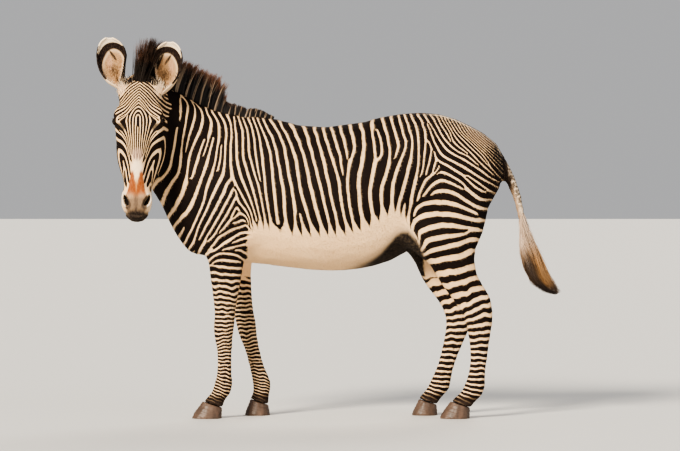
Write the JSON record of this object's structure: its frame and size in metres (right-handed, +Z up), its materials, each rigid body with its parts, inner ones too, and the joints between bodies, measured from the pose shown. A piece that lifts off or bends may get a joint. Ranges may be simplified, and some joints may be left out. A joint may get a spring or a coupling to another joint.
{
  "type": "standing grevy's zebra",
  "caption": "Life-size still model of an adult Grevy's zebra standing square, head turned to its left, with narrow stripes, white belly, upright mane and tufted tail",
  "frame": {"origin": "on the ground, below the middle of the whole animal's box", "axes": "-X the way the body faces, -Y its left side, +Z up"},
  "size_m": [2.2992, 0.6954, 1.8972],
  "materials": {
    "coat": "short flat fur, black-brown stripes on cream white",
    "long_hair": "coarse upright mane hair and tail tuft",
    "hoof_horn": "dull grey-brown horn",
    "eye": "wet dark brown eye"
  },
  "bodies": {
    "root": {"head": "coat", "muzzle": "coat", "neck": "coat", "chest": "coat", "barrel": "coat", "haunches": "coat", "tail": "coat", "leg_fore_left_upper": "coat", "leg_fore_left_lower": "coat", "leg_fore_right_upper": "coat", "leg_fore_right_lower": "coat", "leg_hind_left_upper": "coat", "leg_hind_left_lower": "coat", "leg_hind_right_upper": "coat", "leg_hind_right_lower": "coat", "ear_left": "coat", "ear_right": "coat", "mane": "long_hair", "tail_tuft": "long_hair", "hoof_fore_left": "hoof_horn", "hoof_fore_right": "hoof_horn", "hoof_hind_left": "hoof_horn", "hoof_hind_right": "hoof_horn", "eye_left": "eye", "eye_right": "eye"}
  },
  "joints": []
}
